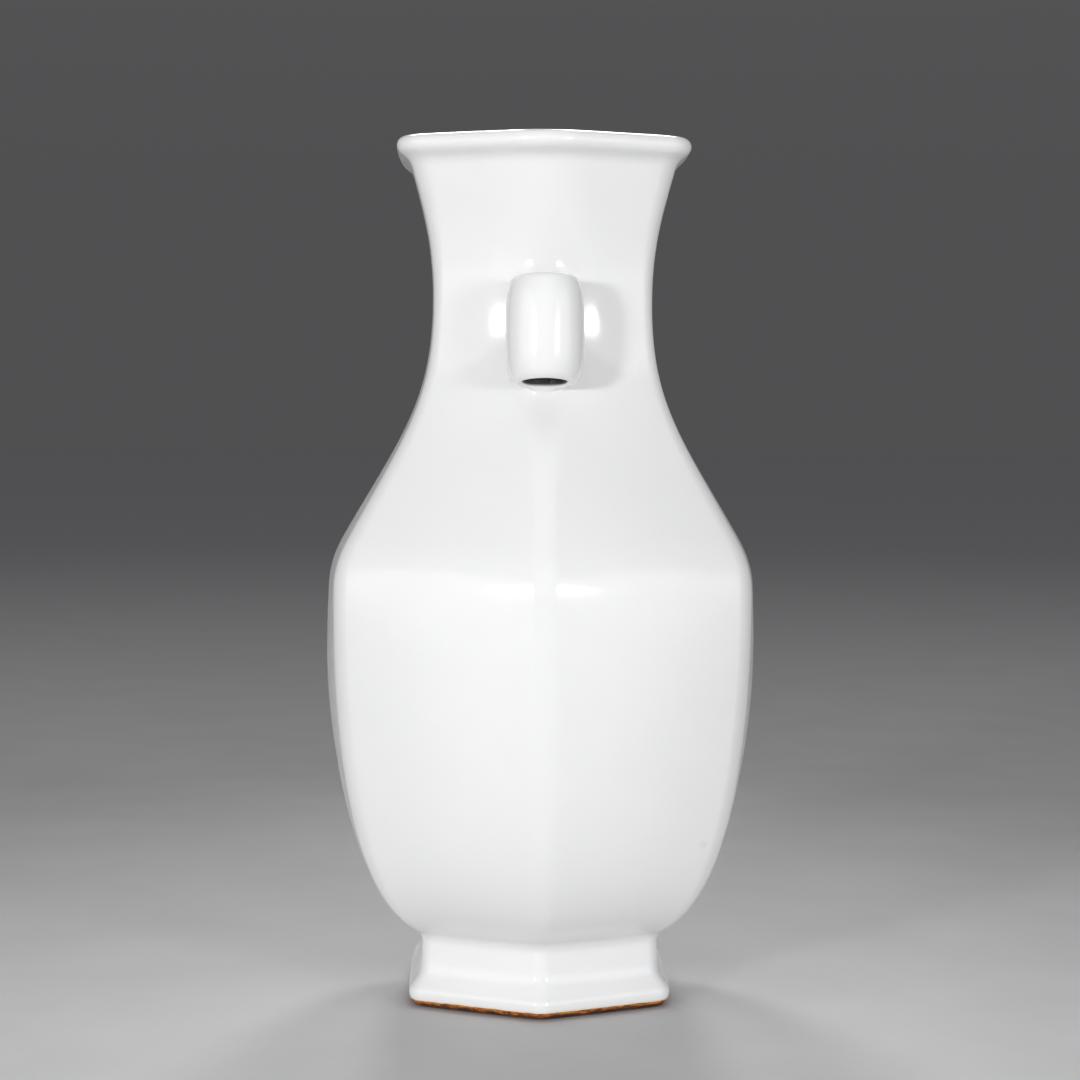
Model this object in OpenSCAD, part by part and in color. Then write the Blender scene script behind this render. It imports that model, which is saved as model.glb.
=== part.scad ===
// Compressed hexagonal vase of white-glazed porcelain with two pierced tubular lugs.
// The long way of the plan runs along Y, where a ridge and a lug face each way.
// The two broad faces look along X. The origin is under the middle of the foot.

/* [Heights] */
// Foot, up to its join with the belly
foot_h = 24.8; // [22:0.2:30]
// Belly, from the foot to the crease under the shoulder
belly_h = 129.2; // [105:0.2:155]
// Shoulder, from the crease to the narrowest part of the neck
shoulder_h = 89.4; // [75:0.2:105]
// Neck, from its narrowest part to the top of the rim
neck_h = 56.6; // [46:0.2:68]

/* [Widths between the broad faces] */
// Belly at the crease, along a side edge
belly_w = 140; // [125:1:155]
// Neck at its narrowest
neck_w = 74.9; // [66:0.1:84]
// Neck just under the lip
throat_w = 89.8; // [86:0.1:96]
// Rim at its widest
rim_w = 100.4; // [98:0.1:108]
// Foot at its stem
stem_w = 81.6; // [78:0.1:84]
// Foot at its splayed edge
splay_w = 90.4; // [88:0.1:96]

/* [Hexagon] */
// Length of a broad face as a share of the width
broad_share = 0.78; // [0.6:0.01:1]
// Angle of the narrow faces from the X axis
narrow_angle = 26.3; // [20:0.1:32]
// Bow of the broad faces at the middle of the belly
belly_bow = 6.8; // [0:0.1:9]
// Bow of the narrow faces as a share of the bow of the broad ones
narrow_bow_share = 0.85; // [0:0.05:1]
// Radius of the upright ridges on the belly
ridge_r = 8.5; // [4:0.5:12]
// Radius of the ridges at the foot, and of the side ridges on the neck
slim_ridge_r = 6.5; // [3:0.5:8]
// Radius of the side ridges at the rim
rim_ridge_r = 13; // [6:0.5:16]
// Radius of the two end ridges at the rim
end_rim_ridge_r = 22; // [10:1:28]
// Radius of the end ridges where they are pressed flatter behind the lugs
seat_ridge_r = 46; // [20:1:50]

/* [Wall] */
// Thickness of the wall
wall_t = 4.5; // [4:0.1:6]
// Radius of the rolled lip
lip_r = 3.3; // [2.8:0.1:3.6]
// Thickness of the bottom
bottom_t = 6.5; // [5:0.5:10]
// Width of the ring that the vase stands on
foot_ring_w = 5.4; // [4:0.1:7]

/* [Lugs] */
// Length of a lug
lug_l = 35.3; // [28:0.1:40]
// Radius of a lug at its middle
lug_r = 13.1; // [11:0.1:14]
// Radius of the hole through a lug
bore_r = 7.2; // [5:0.1:8]
// Radius of the rounded edge at each end of a lug
lug_edge_r = 1.8; // [1:0.1:2.2]
// Distance of the middle of a lug below the narrowest part of the neck
lug_drop = 9.4; // [2:0.2:14]
// Lean of a lug, with its lower end outward
lug_lean = 8; // [0:0.5:9]
// Distance that the tube of a lug stands off the ridge behind it
lug_stand = 1.5; // [0:0.1:2]

/* [Hidden] */
glaze = "whitesmoke";

crease_h = foot_h + belly_h;
waist_h = crease_h + shoulder_h;
total_h = waist_h + neck_h;
lug_h = waist_h - lug_drop;

// Steps along one bowed side and around one rounded corner of the hexagon
SIDE_STEPS = 4;
CORNER_STEPS = 4;
SIDES = 6;
RING_POINTS = SIDES * (SIDE_STEPS + CORNER_STEPS);

// Bow of the broad faces against height
BOWS = [
    [0, 0.06 * belly_bow],
    [foot_h, 0.18 * belly_bow],
    [foot_h + 0.19 * belly_h, 0.65 * belly_bow],
    [foot_h + 0.46 * belly_h, 0.92 * belly_bow],
    [foot_h + 0.64 * belly_h, belly_bow],
    [foot_h + 0.76 * belly_h, 0.95 * belly_bow],
    [foot_h + 0.88 * belly_h, 0.81 * belly_bow],
    [crease_h, 0.67 * belly_bow],
    [crease_h + 0.56 * shoulder_h, 0.3 * belly_bow],
    [waist_h, 0.15 * belly_bow],
    [total_h, 0.1 * belly_bow]
];

// Radius of the four side ridges against height
SIDE_RIDGES = [
    [0, slim_ridge_r],
    [foot_h, slim_ridge_r],
    [foot_h + 0.27 * belly_h, ridge_r],
    [crease_h, ridge_r],
    [crease_h + 0.66 * shoulder_h, slim_ridge_r],
    [waist_h, slim_ridge_r],
    [total_h, rim_ridge_r]
];

// Radius of the two end ridges against height, pressed flatter behind the lugs
END_RIDGES = [
    [0, slim_ridge_r],
    [foot_h, slim_ridge_r],
    [foot_h + 0.27 * belly_h, ridge_r],
    [crease_h, ridge_r],
    [crease_h + 0.4 * shoulder_h, 1.3 * ridge_r],
    [lug_h - 0.62 * lug_l, 0.48 * seat_ridge_r],
    [lug_h - 0.15 * lug_l, seat_ridge_r],
    [lug_h + 0.2 * lug_l, seat_ridge_r],
    [lug_h + 0.62 * lug_l, 0.52 * seat_ridge_r],
    [total_h, end_rim_ridge_r]
];

function reach_y(half) = half * (broad_share + tan(narrow_angle));

// Distance that a rounding of radius r takes off the reach of an end ridge
function cut_back(r) = r * (1 / cos(narrow_angle) - 1);

lug_y = reach_y(neck_w / 2) - cut_back(seat_ridge_r) + lug_stand + lug_r;

function last(list) = list[len(list) - 1];

function tail(list) = [for (i = [1 : 1 : len(list) - 1]) list[i]];

function reversed(list) = [for (i = [len(list) - 1 : -1 : 0]) list[i]];

// A cubic curve through four control points
function curve(p, steps) = [
    for (i = [0 : steps])
        let (t = i / steps, s = 1 - t)
        s * s * s * p[0] + 3 * s * s * t * p[1] + 3 * s * t * t * p[2] + t * t * t * p[3]
];

// A curve that leaves and arrives along given ways, in degrees. Each pull is the share
// of the distance between the ends over which the curve keeps to that way.
function bend(from, from_way, from_pull, to, to_way, to_pull, steps) =
    let (span = norm(to - from))
    curve([
        from,
        from + from_pull * span * [cos(from_way), sin(from_way)],
        to - to_pull * span * [cos(to_way), sin(to_way)],
        to
    ], steps);

function arc(middle, r, from, to, steps) = [
    for (i = [0 : steps])
        let (turn = from + (to - from) * i / steps)
        middle + r * [cos(turn), sin(turn)]
];

// Two outlines that share a corner, joined by a soft curve that starts this far from it
function eased(before, after, ease, steps) =
    let (
        corner = after[0],
        first = [for (p = before) if (norm(p - corner) > ease) p],
        second = [for (p = after) if (norm(p - corner) > ease) p],
        a = last(first),
        b = second[0],
        joint = curve([a, (a + 2 * corner) / 3, (b + 2 * corner) / 3, b], steps)
    )
    concat(first, tail(joint), tail(second));

// An outline moved to its left by a distance
function moved(outline, distance) = [
    for (i = [0 : len(outline) - 1])
        let (
            ahead = outline[min(i + 1, len(outline) - 1)],
            behind = outline[max(i - 1, 0)],
            way = (ahead - behind) / norm(ahead - behind)
        )
        outline[i] + distance * [-way.y, way.x]
];

// The outline of the wall is a list of points, each a half width between the broad faces
// and a height. Ways are measured from level and outward.
UP = 90;
BELLY_WAY = 27.7;
SHOULDER_WAY = 117;
THROAT_WAY = 75;
THROAT_DROP = 10.7;
crease = [belly_w / 2, crease_h];
waist = [neck_w / 2, waist_h];
throat = [throat_w / 2, total_h - THROAT_DROP];

belly = bend(
    from = [stem_w / 2, foot_h], from_way = BELLY_WAY, from_pull = 0.126,
    to = crease, to_way = UP, to_pull = 0.696, steps = 18
);
shoulder = bend(
    from = crease, from_way = SHOULDER_WAY, from_pull = 0.486,
    to = waist, to_way = UP, to_pull = 0.388, steps = 14
);
neck = bend(
    from = waist, from_way = UP, from_pull = 0.443,
    to = throat, to_way = THROAT_WAY, to_pull = 0.314, steps = 10
);

// The lip is a roll over a small cove
ROLL_START = -49;
ROLL_END = 165;
roll = arc([rim_w / 2 - lip_r, total_h - lip_r], lip_r, ROLL_START, ROLL_END, 9);
cove = bend(
    from = throat, from_way = THROAT_WAY, from_pull = 0.47,
    to = roll[0], to_way = ROLL_START + UP, to_pull = 0.31, steps = 4
);

// The foot splays from an upright stem to a rounded edge
EDGE_H = 5.2;
EDGE_UNDERCUT = 2.8;
EDGE_WAY = 29;
SPLAY_RISE = 11;
STEM_LEAN = 0.3;
STEM_END = 4;
ring_outer = splay_w / 2 - EDGE_UNDERCUT;
ring_inner = ring_outer - foot_ring_w;
edge = [splay_w / 2, EDGE_H];
stem = [stem_w / 2, EDGE_H + SPLAY_RISE];
foot_edge = bend(
    from = [ring_outer, 0], from_way = EDGE_WAY, from_pull = 0.305,
    to = edge, to_way = UP, to_pull = 0.44, steps = 4
);
splay = bend(
    from = edge, from_way = UP, from_pull = 0.287,
    to = stem, to_way = UP, to_pull = 0.62, steps = 6
);

EASE_AT_FOOT = 2.2;
EASE_AT_CREASE = 5;
above_foot = concat(eased(belly, shoulder, EASE_AT_CREASE, 4), tail(neck));
outside = eased(
    concat(foot_edge, tail(splay), [[stem.x - STEM_LEAN, foot_h - STEM_END], belly[0]]),
    above_foot, EASE_AT_FOOT, 4
);

// The inside follows every second point of the outside, down to a level floor
FLOOR_CURVE = [11, 2.3];
inner_wall = moved([for (i = [0 : 2 : len(above_foot) - 1]) above_foot[i]], wall_t);
floor_edge = inner_wall[0] - FLOOR_CURVE;
floor_curve = bend(
    from = inner_wall[0], from_way = BELLY_WAY + 180, from_pull = 0.3,
    to = floor_edge, to_way = 180, to_pull = 0.3, steps = 3
);
inside = concat(reversed(inner_wall), tail(floor_curve));

// The hollow under the foot narrows a little upward and has a rounded corner
RECESS_TAPER = 1.8;
RECESS_CORNER = 2;
RING_CHAMFER = [0.6, 1];
recess_wall = ring_inner - RECESS_TAPER;
recess_h = floor_edge.y - bottom_t;
recess = concat(
    bend(
        from = [recess_wall - RECESS_CORNER, recess_h], from_way = 0, from_pull = 0.4,
        to = [recess_wall, recess_h - RECESS_CORNER], to_way = -UP, to_pull = 0.4, steps = 3
    ),
    [[ring_inner - RING_CHAMFER.x, RING_CHAMFER.y], [ring_inner, 0]]
);

wall_outline = concat(recess, outside, tail(cove), tail(roll), inside);

// Unit vector that points out of the hexagon across the side from p to q
function outward(p, q) = let (d = (q - p) / norm(q - p)) [d.y, -d.x];

// A point at share u of the bowed side from p to q, and the direction of the side there
function on_side(p, q, bow, u) = p + u * (q - p) + 4 * bow * u * (1 - u) * outward(p, q);
function along_side(p, q, bow, u) = q - p + 4 * bow * (1 - 2 * u) * outward(p, q);

// Where the line from p along d meets the line from q along e
function meet(p, d, q, e) = p + d * cross(q - p, e) / cross(d, e);

// Corners of the sharp hexagon, counterclockwise from the foot of the +X face
function corners(half) =
    let (c = broad_share * half, a = reach_y(half))
    [[half, -c], [half, c], [0, a], [-half, c], [-half, -c], [0, -a]];

// Share of a side that the rounding of radius r takes at the corner p
function trim(before, p, after, r) =
    let (
        d = (p - before) / norm(p - before),
        e = (after - p) / norm(after - p),
        turn = acos(d * e)
    )
    r * tan(turn / 2);

// One level ring of the wall: six bowed sides joined by rounded corners
function ring(half, z) =
    let (
        c = corners(half),
        side_r = lookup(z, SIDE_RIDGES),
        end_r = lookup(z, END_RIDGES),
        broad_bow = lookup(z, BOWS),
        bows = [for (i = [0 : SIDES - 1]) i % 3 == 0 ? broad_bow : narrow_bow_share * broad_bow],
        trims = [
            for (i = [0 : SIDES - 1])
                trim(
                    c[(i + SIDES - 1) % SIDES], c[i], c[(i + 1) % SIDES],
                    i % 3 == 2 ? end_r : side_r
                )
        ]
    )
    [
        for (i = [0 : SIDES - 1])
            let (
                p = c[i],
                q = c[(i + 1) % SIDES],
                next = c[(i + 2) % SIDES],
                k = (i + 1) % SIDES,
                first = trims[i] / norm(q - p),
                final = 1 - trims[k] / norm(q - p),
                after = trims[k] / norm(next - q),
                a = on_side(p, q, bows[i], final),
                b = on_side(q, next, bows[k], after),
                m = meet(
                    a, along_side(p, q, bows[i], final),
                    b, along_side(q, next, bows[k], after)
                )
            )
            each concat(
                [
                    for (j = [0 : SIDE_STEPS])
                        on_side(p, q, bows[i], first + (final - first) * j / SIDE_STEPS)
                ],
                [
                    for (j = [1 : CORNER_STEPS - 1])
                        let (t = j / CORNER_STEPS)
                        (1 - t) * (1 - t) * a + 2 * t * (1 - t) * m + t * t * b
                ]
            )
    ];

// The closed skin of rings from the hollow under the foot, over the lip, to the floor
module wall() {
    n = RING_POINTS;
    rings = len(wall_outline);
    points = [
        for (s = wall_outline, p = ring(s.x, s.y)) [p.x, p.y, s.y]
    ];
    skin = [
        for (i = [0 : rings - 2], j = [0 : n - 1])
            let (
                a = i * n + j,
                b = i * n + (j + 1) % n
            )
            each [[a, a + n, b + n], [a, b + n, b]]
    ];
    under = [for (j = [0 : n - 1]) j];
    floor = [for (j = [n - 1 : -1 : 0]) (rings - 1) * n + j];
    polyhedron(points, concat(skin, [under, floor]), convexity = 8);
}

// A barrel-shaped tube on the Z axis with rolled ends
module lug_tube() {
    rolled_from = 40;
    middle = [bore_r + lug_edge_r, lug_l / 2 - lug_edge_r];
    rolled = arc(middle, lug_edge_r, rolled_from, 180, 6);
    flank = bend(
        from = [lug_r, 0], from_way = UP, from_pull = 0.47,
        to = rolled[0], to_way = rolled_from + UP, to_pull = 0.2, steps = 8
    );
    upper = concat(flank, tail(rolled));
    lower = [for (p = reversed(tail(upper))) [p.x, -p.y]];
    rotate_extrude($fn = 64) polygon(concat(upper, lower));
}

// The narrow web that lutes a lug to the ridge behind it
module lug_web() {
    at_tube = [4.5, -(bore_r + 0.8)];
    at_neck = [7.5, -(lug_r + lug_stand + 1.5)];
    web_l = lug_l - 8;
    linear_extrude(web_l, center = true)
        polygon([[-at_tube.x, at_tube.y], at_tube, at_neck, [-at_neck.x, at_neck.y]]);
}

module lug() {
    translate([0, lug_y, lug_h]) rotate([lug_lean, 0, 0]) {
        lug_tube();
        lug_web();
    }
}

module vase() {
    color(glaze) union() {
        wall();
        for (turn = [0, 180]) rotate([0, 0, turn]) lug();
    }
}

vase();
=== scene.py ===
import math

import bmesh
import bpy
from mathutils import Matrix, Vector


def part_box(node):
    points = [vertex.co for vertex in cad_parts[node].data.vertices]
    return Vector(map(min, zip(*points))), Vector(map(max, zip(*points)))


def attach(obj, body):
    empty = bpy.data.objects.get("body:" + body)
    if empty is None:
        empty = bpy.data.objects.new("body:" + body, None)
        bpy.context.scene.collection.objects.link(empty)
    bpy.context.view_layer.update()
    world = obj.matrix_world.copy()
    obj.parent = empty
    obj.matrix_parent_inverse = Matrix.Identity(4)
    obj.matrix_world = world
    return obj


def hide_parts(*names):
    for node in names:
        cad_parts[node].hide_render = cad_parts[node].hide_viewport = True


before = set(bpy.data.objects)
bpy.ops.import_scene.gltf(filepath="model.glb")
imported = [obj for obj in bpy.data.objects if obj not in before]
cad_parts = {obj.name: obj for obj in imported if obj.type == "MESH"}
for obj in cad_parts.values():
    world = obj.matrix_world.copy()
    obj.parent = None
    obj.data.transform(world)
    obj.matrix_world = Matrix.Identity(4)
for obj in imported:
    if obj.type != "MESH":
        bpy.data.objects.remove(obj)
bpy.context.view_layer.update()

# The vase is modelled from its outline, as the solid frame is. Lengths are in millimetres
# until a point is placed, where Blender's own unit is the metre.
MM = 0.001

# Levels up the vase, from the foot's splayed edge to the top of the lip
SPLAY_H = 5.2
STEM_H = 16.2
FOOT_H = 24.8
CREASE_H = 154.0
WAIST_H = 243.4
TOTAL_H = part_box("vase")[1].z / MM
THROAT_H = TOTAL_H - 10.7
BELLY_L = CREASE_H - FOOT_H
SHOULDER_L = WAIST_H - CREASE_H

# Widths between the broad faces
BELLY_W = 140.0
NECK_W = 74.9
THROAT_W = 89.8
RIM_W = 100.4
STEM_W = 81.6
SPLAY_W = 90.4

# The compressed hexagon
BROAD_SHARE = 0.78
NARROW_ANGLE = math.radians(26.3)
NARROW_SLOPE = math.tan(NARROW_ANGLE)
REACH = BROAD_SHARE + NARROW_SLOPE
BELLY_BOW = 6.8
NARROW_BOW_SHARE = 0.85

# The wall, and the ring that the vase stands on, a little inside the splayed edge
WALL_T = 4.5
LIP_R = 3.3
BOTTOM_T = 6.5
FOOT_RING_W = 5.4
FOOT_RING_INSET = 2.8

# The lugs. The lower mouth of each is cut at a slant, its front edge higher.
LUG_L = 35.3
LUG_R = 13.3
BORE_R = 7.2
LUG_EDGE_R = 1.8
LUG_CREST_R = BORE_R + LUG_EDGE_R
LUG_H = WAIST_H - 9.4
LUG_Y = 56.7
LUG_LEAN = math.radians(4)
MOUTH_SLANT = math.tan(math.radians(8))

# Columns of faces around the body and around a lug, and rows along half a lug
SIDES = 6
SIDE_STEPS = 4
RIDGE_STEPS = 14
AROUND = SIDES * (SIDE_STEPS + RIDGE_STEPS)
LUG_AROUND = 32
LUG_HALF_ROWS = 7

# The seat of a lug on an end ridge: its levels, its columns of faces and half its width.
# Near its upper and lower edges it is narrower, so that its corners are cut off.
SEAT_LOW = 211
SEAT_HIGH = 259.1
SEAT_CORNER = 3
SEAT_COLUMNS = 6
SEAT_CORNER_COLUMNS = 4
SEAT_HALF = 8

# The levels on the neck where clay is drawn out smooth below and above a lug, and how far
# to each side. The neck's outside there lies further out than the least depth.
FILLETS = (
    (SEAT_LOW - 8, LUG_H - LUG_L / 2 - 2.6),
    (LUG_H + LUG_L / 2 + 0.9, SEAT_HIGH + 6),
)
FILLET_HALF = 13
FILLET_LEAST_Y = 36

# Share of a rounded corner's tangents that makes its cubic curve nearly round
ROUND_PULL = 0.62
# Rings narrower than this, in the floor and the ceiling of the foot, shrink their laws
NARROWEST_WALL = 36

# Laws up the vase: the bow of the broad faces, the radius of the four side ridges and the
# radius of the two end ridges, which are pressed flatter behind the lugs
BOWS = (
    (0, 0.06 * BELLY_BOW),
    (FOOT_H, 0.18 * BELLY_BOW),
    (FOOT_H + 0.19 * BELLY_L, 0.65 * BELLY_BOW),
    (FOOT_H + 0.46 * BELLY_L, 0.92 * BELLY_BOW),
    (FOOT_H + 0.64 * BELLY_L, BELLY_BOW),
    (FOOT_H + 0.76 * BELLY_L, 0.95 * BELLY_BOW),
    (FOOT_H + 0.88 * BELLY_L, 0.81 * BELLY_BOW),
    (CREASE_H, 0.67 * BELLY_BOW),
    (CREASE_H + 0.56 * SHOULDER_L, 0.3 * BELLY_BOW),
    (WAIST_H, 0.15 * BELLY_BOW),
    (TOTAL_H, 0.1 * BELLY_BOW),
)
SIDE_RIDGES = (
    (0, 6.5), (FOOT_H, 6.5), (FOOT_H + 0.27 * BELLY_L, 8.5), (CREASE_H, 8.5),
    (CREASE_H + 0.66 * SHOULDER_L, 6.5), (WAIST_H, 6.5), (TOTAL_H, 13),
)
END_RIDGES = (
    (0, 6.5), (FOOT_H, 6.5), (FOOT_H + 0.27 * BELLY_L, 8.5), (CREASE_H, 9),
    (CREASE_H + 0.36 * SHOULDER_L, 11), (LUG_H - 32, 24), (LUG_H - 20, 62), (LUG_H - 12, 71),
    (LUG_H - 5, 70), (LUG_H + 6, 63), (LUG_H + 18, 53.5), (LUG_H + 30, 42), (TOTAL_H, 22),
)


# Curves and outlines

def on_curve(a, b, c, d, t):
    """The point at share t of a cubic curve with four control points."""
    s = 1 - t
    return s**3 * a + 3 * s * s * t * b + 3 * s * t * t * c + t**3 * d


def curve(a, b, c, d, steps):
    return [on_curve(a, b, c, d, i / steps) for i in range(steps + 1)]


def way(degrees):
    """The direction of an outline, measured from level and outward."""
    return Vector((math.cos(math.radians(degrees)), math.sin(math.radians(degrees))))


def bend(start, start_way, start_pull, end, end_way, end_pull, steps):
    """A curve that leaves and arrives along given ways. Each pull is the share of the
    distance between the ends over which the curve keeps to that way."""
    start, end = Vector(start), Vector(end)
    span = (end - start).length
    leave = start + start_pull * span * way(start_way)
    arrive = end - end_pull * span * way(end_way)
    return curve(start, leave, arrive, end, steps)


def arc(middle, radius, start, end, steps):
    """Points along an arc from one angle to another, in degrees."""
    turns = [start + (end - start) * i / steps for i in range(steps + 1)]
    return [Vector(middle) + radius * way(turn) for turn in turns]


def eased(before, after, ease, steps):
    """Two outlines that share a corner, joined by a soft curve that starts this far from it."""
    corner = after[0]
    first = [p for p in before if (p - corner).length > ease]
    second = [p for p in after if (p - corner).length > ease]
    a, b = first[-1], second[0]
    joint = curve(a, (a + 2 * corner) / 3, (b + 2 * corner) / 3, b, steps)
    return first + joint[1:] + second[1:]


def moved(outline, distance):
    """An outline moved to its left by a distance."""
    result = []
    for i, point in enumerate(outline):
        ahead = outline[min(i + 1, len(outline) - 1)]
        behind = outline[max(i - 1, 0)]
        along = (ahead - behind).normalized()
        result.append(point + distance * Vector((-along.y, along.x)))
    return result


def outer_outline():
    """The outside of the wall, from the ring that the vase stands on to the throat."""
    ring_outer = (SPLAY_W / 2 - FOOT_RING_INSET, 0)
    edge = (SPLAY_W / 2, SPLAY_H)
    stem = (STEM_W / 2, STEM_H)
    crease = (BELLY_W / 2, CREASE_H)
    waist = (NECK_W / 2, WAIST_H)
    throat = (THROAT_W / 2, THROAT_H)
    foot_edge = bend(ring_outer, 29, 0.305, edge, 90, 0.44, steps=6)
    splay = bend(edge, 90, 0.287, stem, 90, 0.62, steps=9)
    belly = bend((STEM_W / 2, FOOT_H), 27.7, 0.126, crease, 90, 0.696, steps=34)
    shoulder = bend(crease, 117, 0.486, waist, 90, 0.388, steps=28)
    neck = bend(waist, 90, 0.443, throat, 75, 0.314, steps=14)

    # The stem draws in slightly under the belly
    stem_top = [Vector((STEM_W / 2 - 0.2, FOOT_H - 3.2)), belly[0]]
    above_foot = eased(belly, shoulder, ease=5, steps=6) + neck[1:]
    outside = eased(foot_edge + splay[1:] + stem_top, above_foot, ease=2.8, steps=7)
    return outside, above_foot


def wall_outline():
    """The wall's section, from the middle of the hollow foot over the lip to the floor.
    Each point is a half width between the broad faces and a height."""
    outside, above_foot = outer_outline()
    roll = arc((RIM_W / 2 - LIP_R, TOTAL_H - LIP_R), LIP_R, -49, 165, steps=12)
    cove = bend(outside[-1], 75, 0.47, roll[0], 41, 0.31, steps=6)

    inner_wall = moved(above_foot[::2], WALL_T)
    floor_edge = inner_wall[0] - Vector((11, 2.3))
    floor_curve = bend(inner_wall[0], 207.7, 0.3, floor_edge, 180, 0.3, steps=5)
    inside = inner_wall[::-1] + floor_curve[1:]
    floor = [Vector((share * floor_edge.x, floor_edge.y)) for share in (0.9, 0.7, 0.4, 0.12)]

    ring_inner = SPLAY_W / 2 - FOOT_RING_INSET - FOOT_RING_W
    hollow_wall = ring_inner - 1.8
    hollow_h = floor_edge.y - BOTTOM_T
    ceiling = bend((hollow_wall - 2, hollow_h), 0, 0.4, (hollow_wall, hollow_h - 2), -90, 0.4,
                   steps=4)
    hollow = ceiling + [Vector((ring_inner - 0.6, 1)), Vector((ring_inner - 0.18, 0.25)),
                        Vector((ring_inner, 0))]
    middle = [Vector((share * ceiling[0].x, hollow_h)) for share in (0.12, 0.4, 0.7, 0.92)]
    return middle + hollow + outside + cove[1:] + roll[1:] + inside + floor


def lug_outline():
    """The closed section of a lug, from its middle up the outside, down the bore and up
    again. The upper end tapers more than the lower one."""
    crest = Vector((LUG_CREST_R, LUG_L / 2))
    upper = bend((LUG_R, 0), 90, 0.62, crest, 180, 0.19, steps=LUG_HALF_ROWS)
    lower = bend((LUG_R, 0), 90, 0.68, crest, 180, 0.21, steps=LUG_HALF_ROWS)
    inner = arc(crest - Vector((0, LUG_EDGE_R)), LUG_EDGE_R, 90, 180, steps=3)[1:]
    inner += [Vector((BORE_R, share * inner[-1].y)) for share in (0.66, 0.33)]
    below = [Vector((p.x, -p.y)) for p in lower[1:] + inner]
    return upper + inner + [Vector((BORE_R, 0))] + below[::-1]


# The hexagon at each level

def law(height, table):
    """The table's value at a height, on a smooth curve through its rows."""
    if height <= table[0][0]:
        return table[0][1]
    if height >= table[-1][0]:
        return table[-1][1]
    i = next(k for k in range(1, len(table)) if height <= table[k][0])

    def slope(k):
        low, high = table[max(k - 1, 0)], table[min(k + 1, len(table) - 1)]
        return (high[1] - low[1]) / (high[0] - low[0])

    (x0, y0), (x1, y1) = table[i - 1], table[i]
    span = x1 - x0
    t = (height - x0) / span
    m0, m1 = slope(i - 1) * span, slope(i) * span
    return ((2 * t**3 - 3 * t**2 + 1) * y0 + (t**3 - 2 * t**2 + t) * m0
            + (3 * t**2 - 2 * t**3) * y1 + (t**3 - t**2) * m1)


def hexagon_corners(half):
    a, c = REACH * half, BROAD_SHARE * half
    return [Vector(p) for p in ((half, -c), (half, c), (0, a), (-half, c), (-half, -c), (0, -a))]


def ridge_steps(radius):
    """Shares of the way round a ridge where its points lie. On a wide end ridge they
    gather towards the middle, so that the seat of a lug keeps its width."""
    seat = SEAT_COLUMNS / RIDGE_STEPS
    wanted = min(seat, SEAT_HALF / (radius * math.sin(NARROW_ANGLE)))
    gathered = (seat - wanted) / (seat - seat**3)
    shares = []
    for j in range(RIDGE_STEPS):
        u = 2 * j / RIDGE_STEPS - 1
        shares.append((1 + (1 - gathered) * u + gathered * u**3) / 2)
    return shares


def meeting(p, d, q, e):
    """Where the line from p along d meets the line from q along e."""
    return p + d * ((q - p).x * e.y - (q - p).y * e.x) / (d.x * e.y - d.y * e.x)


def ring_points(half, height):
    """One level ring of the wall: six bowed sides joined by rounded ridges. The first
    point is the start of the +X side, and the ring runs counterclockwise."""
    c = hexagon_corners(half)
    small = min(1, half / NARROWEST_WALL)
    broad_bow = law(height, BOWS) * small
    side_r = law(height, SIDE_RIDGES) * small
    end_r = law(height, END_RIDGES) * small
    bows, trims = [], []
    for i in range(SIDES):
        bows.append(broad_bow if i % 3 == 0 else NARROW_BOW_SHARE * broad_bow)
        is_end = i % 3 == 2
        turn = 2 * NARROW_ANGLE if is_end else math.pi / 2 - NARROW_ANGLE
        trims.append((end_r if is_end else side_r) * math.tan(turn / 2))

    def on_side(i, u):
        """A point at share u of the bowed side i, and the way of the side there."""
        p, q = c[i], c[(i + 1) % SIDES]
        out = Vector(((q - p).y, (p - q).x)).normalized()
        point = p + u * (q - p) + 4 * bows[i] * u * (1 - u) * out
        return point, q - p + 4 * bows[i] * (1 - 2 * u) * out

    points = []
    for i in range(SIDES):
        k = (i + 1) % SIDES
        length = (c[k] - c[i]).length
        next_length = (c[(i + 2) % SIDES] - c[k]).length
        first, final = trims[i] / length, 1 - trims[k] / length
        for j in range(SIDE_STEPS):
            points.append(on_side(i, first + (final - first) * j / SIDE_STEPS)[0])
        a, along_a = on_side(i, final)
        b, along_b = on_side(k, trims[k] / next_length)
        m = meeting(a, along_a, b, along_b)
        pulls = a + ROUND_PULL * (m - a), b + ROUND_PULL * (m - b)
        points += [on_curve(a, *pulls, b, t) for t in ridge_steps(end_r if k % 3 == 2 else 1)]
    return points


# Picking parts of a mesh by their place

def only(*pieces):
    bpy.ops.object.select_all(action="DESELECT")
    for piece in pieces:
        piece.select_set(True)
    bpy.context.view_layer.objects.active = pieces[0]


def pick(kind, test):
    """In edit mode, selects the edges or faces of the active piece that pass."""
    bpy.ops.mesh.select_mode(type=kind)
    bpy.ops.mesh.select_all(action="DESELECT")
    mesh = bpy.context.object.data
    bm = bmesh.from_edit_mesh(mesh)
    for item in {"EDGE": bm.edges, "FACE": bm.faces}[kind]:
        if test(item):
            item.select_set(True)
    bm.select_flush_mode()
    bmesh.update_edit_mesh(mesh)


def middle_of(item):
    return sum((v.co for v in item.verts), Vector()) / len(item.verts)


def is_open(edge):
    return len(edge.link_faces) == 1


def face_outward():
    """Turns all faces of the piece in edit mode to face out of its solid."""
    bpy.ops.mesh.select_all(action="SELECT")
    bpy.ops.mesh.normals_make_consistent(inside=False)


def column_span(x, y, around):
    """How many of a ring's columns a band about the Y axis takes if it ends at a point."""
    return abs(math.atan2(x, y)) * around / math.pi


# The body

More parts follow.
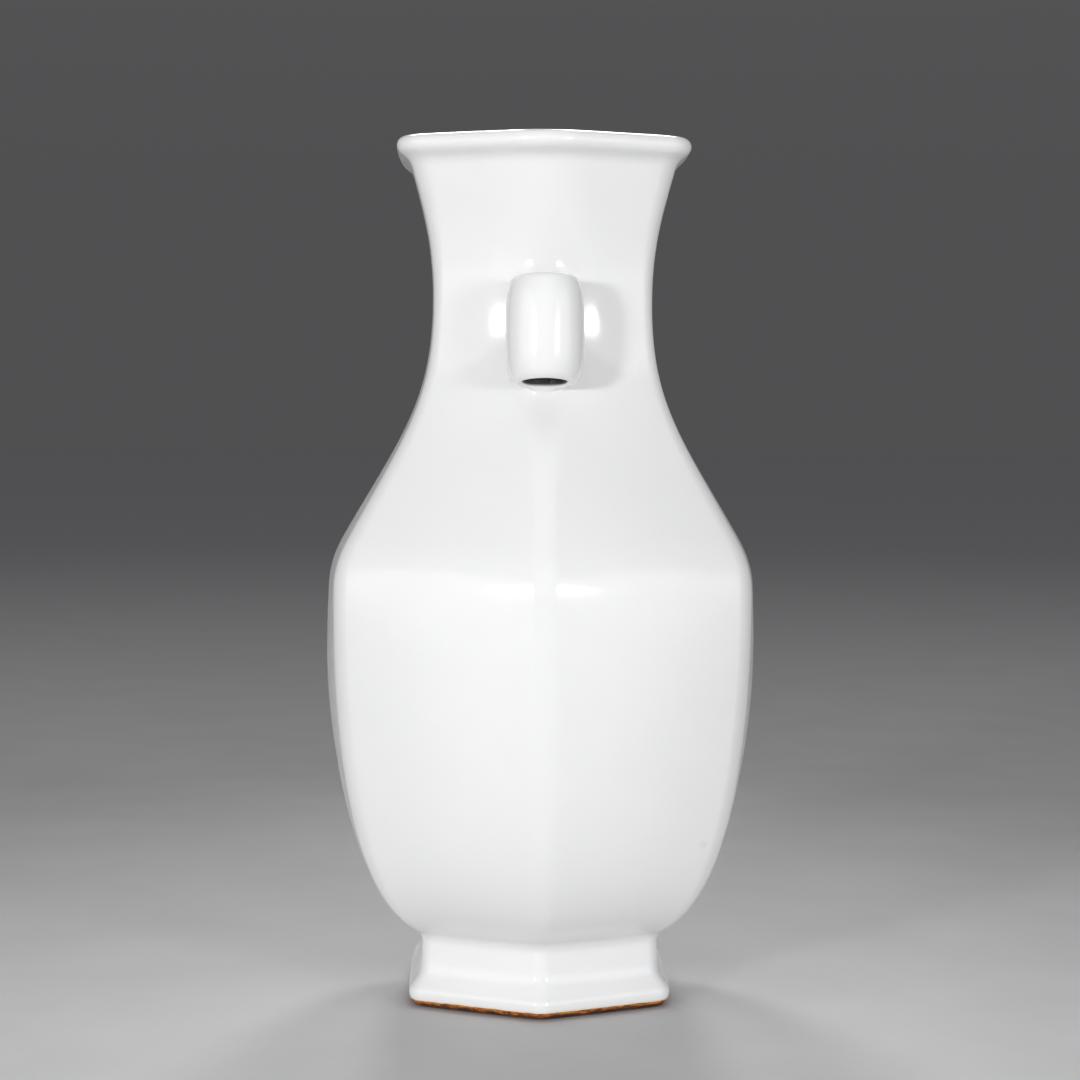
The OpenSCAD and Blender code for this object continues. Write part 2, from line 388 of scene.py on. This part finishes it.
def extrude_ring(outline):
    """Extrudes the selected ring through an outline's points, resizing it as it goes."""
    for before, point in zip(outline, outline[1:]):
        rise = (point.y - before.y) * MM
        bpy.ops.mesh.extrude_edges_move(TRANSFORM_OT_translate={"value": (0, 0, rise)})
        grown = point.x / before.x
        bpy.ops.transform.resize(
            value=(grown, grown, 1), center_override=(0, 0, point.y * MM)
        )


def add_ring(name, vertices, outline):
    """A round shell on the Z axis: a circle extruded through an outline's points. It is
    left in edit mode."""
    start = outline[0]
    bpy.ops.mesh.primitive_circle_add(
        vertices=vertices, radius=start.x * MM, location=(0, 0, start.y * MM)
    )
    bpy.ops.object.transform_apply(location=True)
    piece = bpy.context.object
    piece.name = name
    bpy.ops.object.mode_set(mode="EDIT")
    bpy.ops.mesh.select_all(action="SELECT")
    extrude_ring(outline)
    return piece


def press_to_hexagon(piece):
    """Presses each round ring of the body into the hexagon of its width and height."""
    # The point of a hexagon ring on the ridge at the end of +Y, where the circle has made
    # a quarter turn
    end_point = 2 * (SIDE_STEPS + RIDGE_STEPS) - RIDGE_STEPS // 2
    rings = {}
    for vertex in piece.data.vertices:
        half, height = vertex.co.xy.length / MM, vertex.co.z / MM
        key = (round(half, 3), round(height, 3))
        if key not in rings:
            rings[key] = ring_points(half, height)
        turn = math.atan2(vertex.co.y, vertex.co.x) - math.pi / 2
        steps = round(turn / (2 * math.pi) * AROUND)
        point = rings[key][(end_point + steps) % AROUND]
        vertex.co.x, vertex.co.y = point.x * MM, point.y * MM


def make_body():
    body = add_ring("vase_body", AROUND, wall_outline())
    # The ceiling of the hollow foot and the floor are closed, each by one face
    for high in (False, True):
        pick("EDGE", lambda e: is_open(e) and (middle_of(e).z > FOOT_H * MM) == high)
        bpy.ops.mesh.edge_face_add()
    face_outward()

    def on_seat(face):
        """Whether a face of the neck's outside lies where a lug is luted to a ridge."""
        m = middle_of(face)
        level = m.z / MM
        inner = SEAT_LOW + SEAT_CORNER < level < SEAT_HIGH - SEAT_CORNER
        columns = SEAT_COLUMNS if inner else SEAT_CORNER_COLUMNS
        return (SEAT_LOW < level < SEAT_HIGH and face.normal.xy.dot(m.xy) > 0
                and column_span(m.x, abs(m.y), AROUND) < columns)

    pick("FACE", on_seat)
    bpy.ops.mesh.delete(type="FACE")
    bpy.ops.object.mode_set(mode="OBJECT")
    press_to_hexagon(body)
    return body


# The lugs

def make_lug(name):
    """A barrel-shaped tube, leaning with its lower end outward, on the -Y ridge."""
    lug = add_ring(name, LUG_AROUND, lug_outline())
    pick("EDGE", is_open)
    bpy.ops.mesh.bridge_edge_loops()
    face_outward()

    def on_back(face):
        """Whether a face of the outside is among those that the neck takes the place of."""
        m = middle_of(face)
        off_axis = min(v.co.xy.length for v in face.verts) / (LUG_CREST_R * MM)
        columns = SEAT_COLUMNS if off_axis > 1.001 else SEAT_CORNER_COLUMNS
        return off_axis > 0.999 and column_span(m.x, m.y, LUG_AROUND) < columns

    pick("FACE", on_back)
    bpy.ops.mesh.delete(type="FACE")
    bpy.ops.object.mode_set(mode="OBJECT")
    for vertex in lug.data.vertices:
        low = max(0, -2 * vertex.co.z / (LUG_L * MM))
        vertex.co.z -= (vertex.co.y + LUG_R * MM / 2) * MOUTH_SLANT * low
    bpy.ops.object.mode_set(mode="EDIT")
    bpy.ops.mesh.select_all(action="SELECT")
    bpy.ops.transform.rotate(value=LUG_LEAN, orient_axis="X", center_override=(0, 0, 0))
    bpy.ops.transform.translate(value=(0, -LUG_Y * MM, LUG_H * MM))
    bpy.ops.object.mode_set(mode="OBJECT")
    return lug


def in_fillet(face, side):
    """Whether a face of the neck's outside lies just below or above the lug of a side."""
    m = middle_of(face)
    near = m.y * side > FILLET_LEAST_Y * MM and abs(m.x) < FILLET_HALF * MM
    heights = [v.co.z / MM for v in face.verts]
    drawn_out = any(low < min(heights) and max(heights) < high for low, high in FILLETS)
    return near and drawn_out and face.normal.y * side > 0


def make_vase():
    body = make_body()
    lugs = [make_lug("vase_lug_front"), make_lug("vase_lug_back")]
    bpy.ops.object.mode_set(mode="EDIT")
    bpy.ops.mesh.select_all(action="SELECT")
    bpy.ops.transform.rotate(value=math.pi, orient_axis="Z", center_override=(0, 0, 0))
    bpy.ops.object.mode_set(mode="OBJECT")
    only(body, *lugs)
    bpy.ops.object.join()
    vase = bpy.context.object
    vase.name = "porcelain_vase"
    vase.data.name = "porcelain_vase"
    bpy.ops.object.mode_set(mode="EDIT")
    for side in (-1, 1):
        pick("EDGE", lambda e: is_open(e) and middle_of(e).y * side > 0)
        bpy.ops.mesh.bridge_edge_loops(number_cuts=2, interpolation="SURFACE", smoothness=0.6)
        bpy.ops.mesh.vertices_smooth(factor=0.5, repeat=2)
        pick("FACE", lambda f: in_fillet(f, side))
        bpy.ops.mesh.vertices_smooth(factor=0.5, repeat=14)
    face_outward()
    bpy.ops.object.mode_set(mode="OBJECT")
    modifier = vase.modifiers.new("smooth_clay", "SUBSURF")
    modifier.levels = modifier.render_levels = 1
    bpy.ops.object.modifier_apply(modifier=modifier.name)
    bpy.ops.object.shade_smooth()
    return vase


vase = make_vase()
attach(vase, "root")
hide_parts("vase")


# Material nodes

def new_material(name):
    material = bpy.data.materials.new(name)
    material.use_nodes = True
    tree = material.node_tree
    tree.nodes.clear()
    output = tree.nodes.new("ShaderNodeOutputMaterial")
    shader = tree.nodes.new("ShaderNodeBsdfPrincipled")
    tree.links.new(shader.outputs["BSDF"], output.inputs["Surface"])
    return material, tree, shader


def add_node(tree, kind, inputs=None, **settings):
    """A node with its settings, whose inputs are given as numbers or as other sockets."""
    node = tree.nodes.new(kind)
    for name, value in settings.items():
        setattr(node, name, value)
    for name, value in (inputs or {}).items():
        if isinstance(value, bpy.types.NodeSocket):
            tree.links.new(value, node.inputs[name])
        else:
            node.inputs[name].default_value = value
    return node


def object_place(tree):
    return add_node(tree, "ShaderNodeTexCoord").outputs["Object"]


def noise(tree, place, grain, detail=2.0, roughness=0.5):
    """Soft noise whose grain is given in millimetres."""
    node = add_node(tree, "ShaderNodeTexNoise", {
        "Vector": place, "Scale": 1 / (grain * MM), "Detail": detail, "Roughness": roughness,
    })
    return node.outputs["Fac"]


def reckon(tree, operation, *values):
    node = add_node(tree, "ShaderNodeMath", dict(enumerate(values)), operation=operation)
    return node.outputs[0]


def reckon_vector(tree, operation, *values):
    node = add_node(tree, "ShaderNodeVectorMath", dict(enumerate(values)), operation=operation)
    return node.outputs["Value" if operation == "LENGTH" else "Vector"]


def between(tree, value, low, high, at_low=0.0, at_high=1.0):
    """The value's place between two limits, as a soft step."""
    node = add_node(tree, "ShaderNodeMapRange", {
        "Value": value, "From Min": low, "From Max": high, "To Min": at_low, "To Max": at_high,
    }, interpolation_type="SMOOTHSTEP")
    return node.outputs["Result"]


def fading(tree, value, low, high):
    """A soft step down, from one at the lower limit to nothing at the upper one."""
    return between(tree, value, low, high, 1.0, 0.0)


# Where a mix node has its two inputs and its result, by the kind of data that it mixes
MIX_SOCKETS = {"FLOAT": (2, 3, 0), "RGBA": (6, 7, 2)}


def blend(tree, share, first, second, data_type="RGBA"):
    a, b, result = MIX_SOCKETS[data_type]
    node = add_node(tree, "ShaderNodeMix", {0: share, a: first, b: second}, data_type=data_type)
    return node.outputs[result]


def bumps(tree, place, layers):
    """The normal of a surface with layers of relief, each given by its grain and depth in
    millimetres, the detail of its noise and its strength."""
    under = {}
    for grain, depth, detail, strength in layers:
        bump = add_node(tree, "ShaderNodeBump", {
            "Height": noise(tree, place, grain, detail), "Distance": depth * MM,
            "Strength": strength, **under,
        })
        under = {"Normal": bump.outputs["Normal"]}
    return under["Normal"]


def new_group(name, inputs, outputs):
    """A node group with named inputs and outputs."""
    group = bpy.data.node_groups.new(name, "ShaderNodeTree")
    for kind, sockets in (("INPUT", inputs), ("OUTPUT", outputs)):
        for socket, socket_type in sockets:
            group.interface.new_socket(socket, in_out=kind, socket_type="NodeSocket" + socket_type)
    return group, group.nodes.new("NodeGroupInput").outputs, group.nodes.new("NodeGroupOutput")


# The glaze

GLAZE = (0.88, 0.88, 0.88, 1)
GLAZE_CLOUDED = (0.868, 0.87, 0.874, 1)
GLAZE_THIN = (0.885, 0.8, 0.66, 1)
IRON_ORANGE = (0.66, 0.22, 0.03, 1)
IRON_BROWN = (0.12, 0.03, 0.007, 1)
IRON_DARK = (0.03, 0.014, 0.008, 1)
STAIN = (0.62, 0.45, 0.3, 1)
SPECK = (0.1, 0.07, 0.05, 1)
# Painted shade: the near-black colour of the lugs' bores stands in for the dim light inside them
BORE_PAINTED_SHADE = (0.045, 0.043, 0.036, 1)
BARE_ROUGHNESS = 0.55

# The brown line where the glaze ends: its level, how far it wanders, how soft its upper
# edge is and how far above it the glaze is thin
WASH_TOP = 2.8 * MM
WASH_WANDER = 0.9 * MM
WASH_SOFT = 0.25 * MM
THIN_GLAZE_L = 0.9 * MM

# Small marks of the firing: place and radius in millimetres, strength and colour
MARKS = (
    ((12.9, -78, 109.6), 0.42, 0.5, SPECK),
    ((54.8, -50, 60.1), 1.6, 0.12, STAIN),
    ((-27.6, -50, 299), 0.6, 0.1, SPECK),
    ((-31, 62, 187), 0.4, 0.4, SPECK),
    ((70, 12, 92), 0.45, 0.35, SPECK),
    ((-69, -20, 131), 1.6, 0.1, STAIN),
)


def small_mark_group():
    """A small soft-edged mark at a place on the glaze."""
    group, given, result = new_group(
        "small_mark",
        [("Place", "Vector"), ("Centre", "Vector"), ("Radius", "Float"), ("Strength", "Float")],
        [("Mask", "Float")],
    )
    # Depth counts little, so that the mark lies on the skin wherever that is
    away = reckon_vector(group, "SUBTRACT", given["Place"], given["Centre"])
    away = reckon_vector(group, "MULTIPLY", away, (1, 0.15, 1))
    distance = reckon_vector(group, "LENGTH", away)
    uneven = reckon(group, "ADD", noise(group, given["Place"], grain=0.5), 0.8)
    share = reckon(group, "DIVIDE", distance, reckon(group, "MULTIPLY", given["Radius"], uneven))
    mask = reckon(group, "MULTIPLY", fading(group, share, 0.35, 1.0), given["Strength"])
    group.links.new(mask, result.inputs["Mask"])
    return group


def add_marks(tree, place, colour):
    mark = small_mark_group()
    for centre, radius, strength, tint in MARKS:
        node = add_node(tree, "ShaderNodeGroup", {
            "Place": place, "Centre": [c * MM for c in centre], "Radius": radius * MM,
            "Strength": strength,
        }, node_tree=mark)
        colour = blend(tree, node.outputs["Mask"], colour, tint)
    return colour


def painted_bore_shade_mask(tree, place):
    """Where the bores of the lugs are, as the mask for the painted shade in them. They are alike
    on both sides.
    """
    either = reckon_vector(tree, "ABSOLUTE", place)
    in_lug = add_node(tree, "ShaderNodeMapping", {
        "Vector": either, "Location": (0, LUG_Y * MM, LUG_H * MM), "Rotation": (LUG_LEAN, 0, 0),
    }, vector_type="TEXTURE").outputs["Vector"]
    off_axis = reckon_vector(tree, "LENGTH", reckon_vector(tree, "MULTIPLY", in_lug, (1, 1, 0)))
    along = add_node(tree, "ShaderNodeSeparateXYZ", {0: in_lug}).outputs["Z"]
    bore = fading(tree, off_axis, (BORE_R + 0.2) * MM, (BORE_R + 0.7) * MM)
    deep = fading(tree, reckon(tree, "ABSOLUTE", along), (LUG_L / 2 + 0.2) * MM,
                  (LUG_L / 2 + 1.6) * MM)
    return reckon(tree, "MULTIPLY", bore, deep)


def iron_wash(tree, place, level):
    """Iron on the foot's edge, orange at its upper line and darker and streaked below."""
    low = fading(tree, level, 0.4 * MM, WASH_TOP - 0.2 * MM)
    streaks = noise(tree, reckon_vector(tree, "MULTIPLY", place, (1, 1, 3.5)), 3, 4, 0.7)
    drawn = reckon(tree, "ADD", streaks, reckon(tree, "MULTIPLY", low, 0.2))
    iron = blend(tree, between(tree, drawn, 0.46, 0.62), IRON_ORANGE, IRON_BROWN)
    burnt = between(tree, noise(tree, place, 7, 3, 0.6), 0.44, 0.6)
    return blend(tree, reckon(tree, "MULTIPLY", burnt, low), iron, IRON_DARK)


def white_glaze():
    material, tree, shader = new_material("white_glaze")
    place = object_place(tree)
    wander = reckon(tree, "SUBTRACT", noise(tree, place, 5, 4, 0.6), 0.5)
    height = add_node(tree, "ShaderNodeSeparateXYZ", {0: place}).outputs["Z"]
    level = reckon(tree, "ADD", height, reckon(tree, "MULTIPLY", wander, WASH_WANDER))
    wash = fading(tree, level, WASH_TOP - WASH_SOFT, WASH_TOP)

    # The glaze is a little uneven in tone and warmer where it thins over the foot. The
    # bores of the lugs are coloured near black, painted shade for the dim inside of the holes.
    cloud = between(tree, noise(tree, place, 34, 3), 0.35, 0.65)
    colour = blend(tree, cloud, GLAZE, GLAZE_CLOUDED)
    thin = fading(tree, level, WASH_TOP, WASH_TOP + THIN_GLAZE_L)
    colour = blend(tree, thin, colour, GLAZE_THIN)
    colour = add_marks(tree, place, colour)
    # Painted shade: the bores are coloured dark in place of the shade inside them
    colour = blend(tree, painted_bore_shade_mask(tree, place), colour, BORE_PAINTED_SHADE)
    colour = blend(tree, wash, colour, iron_wash(tree, place, level))
    tree.links.new(colour, shader.inputs["Base Color"])

    # Gloss that varies slightly, and a matt edge where there is no glaze
    gloss = between(tree, noise(tree, place, 9, 3), 0.3, 0.7, 0.13, 0.17)
    rough = blend(tree, wash, gloss, BARE_ROUGHNESS, data_type="FLOAT")
    tree.links.new(rough, shader.inputs["Roughness"])
    shader.inputs["IOR"].default_value = 1.5

    # The skin of the glaze has slow waves, orange peel and a fine grain, and the bare clay
    # a coarser one
    relief = bumps(tree, place, (
        (16, 0.035, 1, 1.0), (2.2, 0.009, 1, 1.0), (0.7, 0.0042, 1, 1.0), (0.5, 0.06, 3, wash),
    ))
    tree.links.new(relief, shader.inputs["Normal"])
    return material


vase.data.materials.append(white_glaze())


# Stage

FLOOR = (0.6, 0.6, 0.605, 1)
FLOOR_MOTTLED = (0.575, 0.575, 0.58, 1)
FLOOR_FAR_PAINTED_SHADE = (0.37, 0.37, 0.38, 1)
ROOM = (0.08, 0.08, 0.083, 1)
ROOM_OVERHEAD = (0.24, 0.24, 0.245, 1)

# Disks of light around the vase: azimuth from the front, size in metres and power. The
# keys stand around the front lug, lifted a little, and the fills lower and further away.
KEYS = (("key_left", -31, 0.2, 9.6), ("key_right", 35.4, 0.28, 4.6))
KEY_DISTANCE = 1.6
KEY_LIFT = 5
FILLS = (("fill_left", -55, 2, 14), ("fill_right", 55, 2, 14))
FILL_DISTANCE = 2.2
FILL_HEIGHT = 0.3

# The camera faces the front lug. Its turn and roll also take up how the vase stands in
# the picture, slightly turned and leaning.
CAMERA_PLACE = (-0.0198, -0.930, 0.2103)
CAMERA_TURNS = (90 - 3.08, -0.34, -1.2)
CAMERA_LENS = 87.08


def pale_floor():
    """A matt floor whose colour darkens with distance to the tone of the room, painted shade for
    the light falling off away from the vase.
    """
    material, tree, shader = new_material("pale_floor")
    place = object_place(tree)
    mottle = between(tree, noise(tree, place, 60, 4), 0.3, 0.7)
    # Painted shade: the floor's colour darkens away from the vase
    far = between(tree, reckon_vector(tree, "LENGTH", place), 0.4, 3)
    colour = blend(tree, far, blend(tree, mottle, FLOOR, FLOOR_MOTTLED), FLOOR_FAR_PAINTED_SHADE)
    tree.links.new(colour, shader.inputs["Base Color"])
    shader.inputs["Roughness"].default_value = 0.8
    shader.inputs["Specular IOR Level"].default_value = 0.2
    tree.links.new(bumps(tree, place, ((0.8, 0.05, 2, 0.5),)), shader.inputs["Normal"])
    return material


def add_floor():
    """The floor, a little under the foot."""
    bpy.ops.mesh.primitive_plane_add(size=20, location=(0, 0, -0.2 * MM))
    floor = bpy.context.object
    floor.name = "floor"
    floor.data.materials.append(pale_floor())


def around(azimuth, lift=0):
    """The way from the vase at an azimuth from the front, lifted from level, in degrees."""
    turn, lift = math.radians(azimuth), math.radians(lift)
    return Vector((math.sin(turn) * math.cos(lift), -math.cos(turn) * math.cos(lift),
                   math.sin(lift)))


def add_light(kind, name, place, aim, power, **settings):
    bpy.ops.object.light_add(type=kind, location=place)
    light = bpy.context.object
    light.name = name
    light.data.energy = power
    for setting, value in settings.items():
        setattr(light.data, setting, value)
    light.rotation_mode = "QUATERNION"
    light.rotation_quaternion = (Vector(aim) - Vector(place)).to_track_quat("-Z", "Y")


def add_disk(name, place, aim, size, power):
    add_light("AREA", name, place, aim, power, shape="DISK", size=size)


def add_lights():
    lug = Vector((0, -0.05, LUG_H * MM))
    for name, azimuth, size, power in KEYS:
        place = lug + KEY_DISTANCE * around(azimuth, KEY_LIFT)
        add_disk(name, place, (0, -0.03, 0.16), size, power)
    add_disk("front_fill", (0.35, -2.2, 0.6), (0, 0, 0.15), 2.4, 9)
    for name, azimuth, size, power in FILLS:
        place = FILL_DISTANCE * around(azimuth) + Vector((0, 0, FILL_HEIGHT))
        add_disk(name, place, (0, 0, 0.13), size, power)
    add_disk("overhead", (0, -0.1, 1.4), (0, 0, 0), 1.2, 1.9)
    # Soft spots light the back of the vase and not the floor behind it
    for side in (-1, 1):
        add_light("SPOT", "back_light", (0.35 * side, 1.8, 1.6), (0, 0.02, 0.16), 70,
                  shadow_soft_size=0.25, spot_size=math.radians(15), spot_blend=0.5)


def add_world():
    """A dim grey room that lightens overhead."""
    world = bpy.data.worlds.new("studio")
    bpy.context.scene.world = world
    world.use_nodes = True
    tree = world.node_tree
    toward = add_node(tree, "ShaderNodeTexCoord").outputs["Generated"]
    height = add_node(tree, "ShaderNodeSeparateXYZ", {0: toward}).outputs["Z"]
    shade = blend(tree, between(tree, height, 0.05, 0.9), ROOM, ROOM_OVERHEAD)
    tree.links.new(shade, tree.nodes["Background"].inputs["Color"])


def add_camera():
    bpy.ops.object.camera_add(location=CAMERA_PLACE)
    camera = bpy.context.object
    camera.name = "camera"
    camera.rotation_euler = [math.radians(turn) for turn in CAMERA_TURNS]
    camera.data.sensor_width = 36
    camera.data.lens = CAMERA_LENS
    camera.data.clip_start = 0.02
    bpy.context.scene.camera = camera


add_floor()
add_lights()
add_world()
add_camera()
bpy.context.scene.view_settings.view_transform = "Standard"
